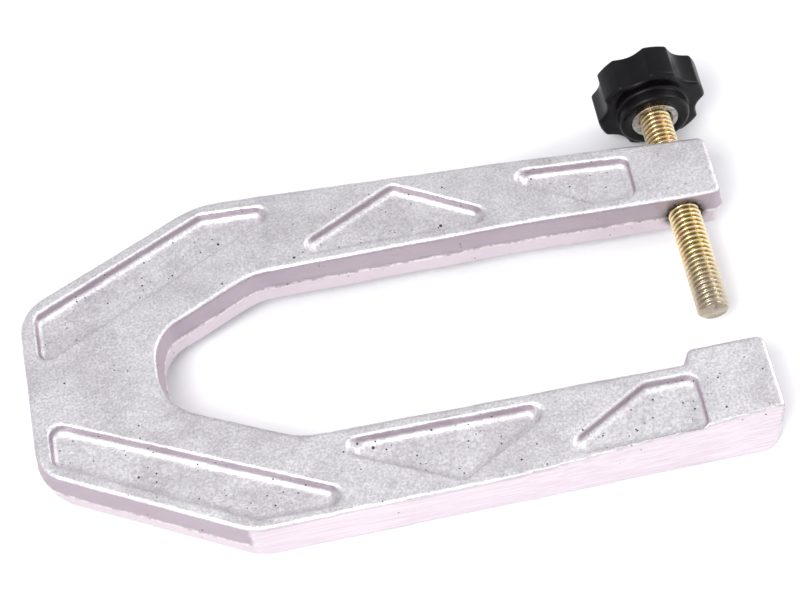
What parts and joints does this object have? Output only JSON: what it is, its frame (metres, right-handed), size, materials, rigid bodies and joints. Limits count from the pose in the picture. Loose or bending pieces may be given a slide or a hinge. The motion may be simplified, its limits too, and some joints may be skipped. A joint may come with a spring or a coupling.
{
  "type": "c clamp",
  "caption": "Deep-throat cast C clamp with a threaded screw turned by a lobed hand knob, for clamping work far in from its edge.",
  "frame": {"origin": "centre of the anvil face, on the screw's axis, half way through the frame's thickness", "axes": "+X along the arms from the spine to the open jaws; +Y along the screw from the anvil to the knob; +Z square to the frame's flat sides"},
  "size_m": [0.2134, 0.1314, 0.033],
  "materials": {
    "cast_aluminium": "as cast in sand, outer faces of the arms ground flat",
    "zinc_plated_steel": "yellow-passivated zinc plating",
    "knob_plastic": "moulded black, satin on the sides",
    "bush_metal": "turned bright"
  },
  "bodies": {
    "frame": {"frame_casting": "cast_aluminium"},
    "bush_carrier": {"knob_bush": "bush_metal"},
    "screw_and_knob": {"clamp_screw": "zinc_plated_steel", "hand_knob": "knob_plastic"}
  },
  "joints": [
    {"name": "screw_travel", "type": "slide", "parent": "frame", "child": "bush_carrier", "axis": [0, 1, 0], "range_m": [-0.0123, 0.0341]},
    {"name": "knob_turn", "type": "hinge", "parent": "bush_carrier", "child": "screw_and_knob", "pos_m": [0, 0.09, 0], "axis": [0, 1, 0], "range_deg": [-2790, 7740]}
  ],
  "couplings": [
    {"joint": "knob_turn", "follows": "screw_travel", "rad_per_m": 3957.9}
  ]
}
